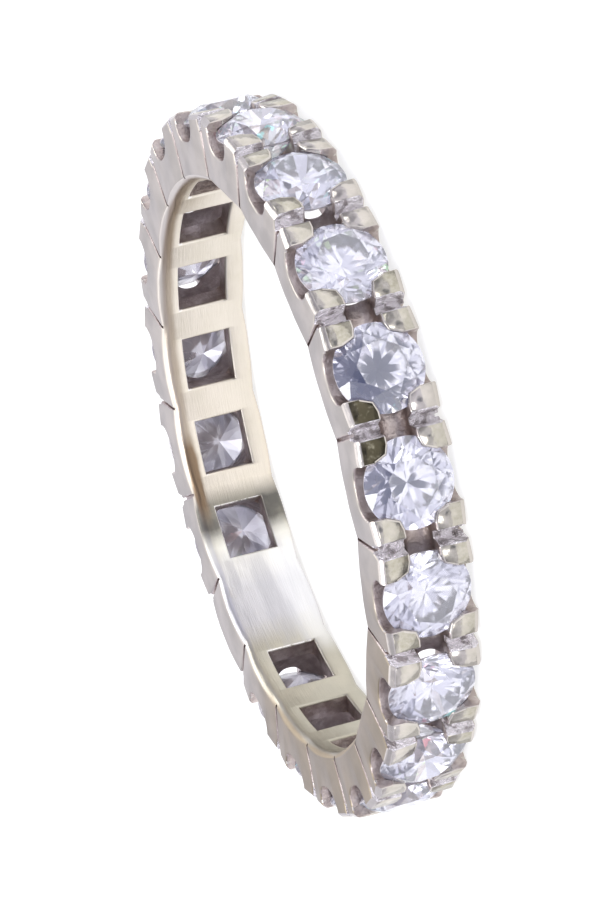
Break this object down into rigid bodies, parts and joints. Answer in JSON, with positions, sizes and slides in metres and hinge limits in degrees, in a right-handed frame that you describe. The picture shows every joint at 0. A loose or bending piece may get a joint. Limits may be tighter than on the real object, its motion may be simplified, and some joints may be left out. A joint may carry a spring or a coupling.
{
  "type": "diamond wedding band, a full-circle eternity ring",
  "caption": "Narrow eternity ring of square four-claw units with round brilliants, square windows behind them and one short plain bar.",
  "frame": {"origin": "on the axis of the finger hole, in the plane of the side face that the ring lies on", "axes": "+Z along the axis of the finger hole, up from the floor; the plain bar is centred on -X"},
  "size_m": [0.0204, 0.0206, 0.0027],
  "materials": {
    "white_gold": "satin inner wall, polished outside",
    "diamond": "polished facets"
  },
  "bodies": {
    "root": {"band": "white_gold", "stone_01": "diamond", "stone_02": "diamond", "stone_03": "diamond", "stone_04": "diamond", "stone_05": "diamond", "stone_06": "diamond", "stone_07": "diamond", "stone_08": "diamond", "stone_09": "diamond", "stone_10": "diamond", "stone_11": "diamond", "stone_12": "diamond", "stone_13": "diamond", "stone_14": "diamond", "stone_15": "diamond", "stone_16": "diamond", "stone_17": "diamond", "stone_18": "diamond", "stone_19": "diamond"}
  },
  "joints": []
}
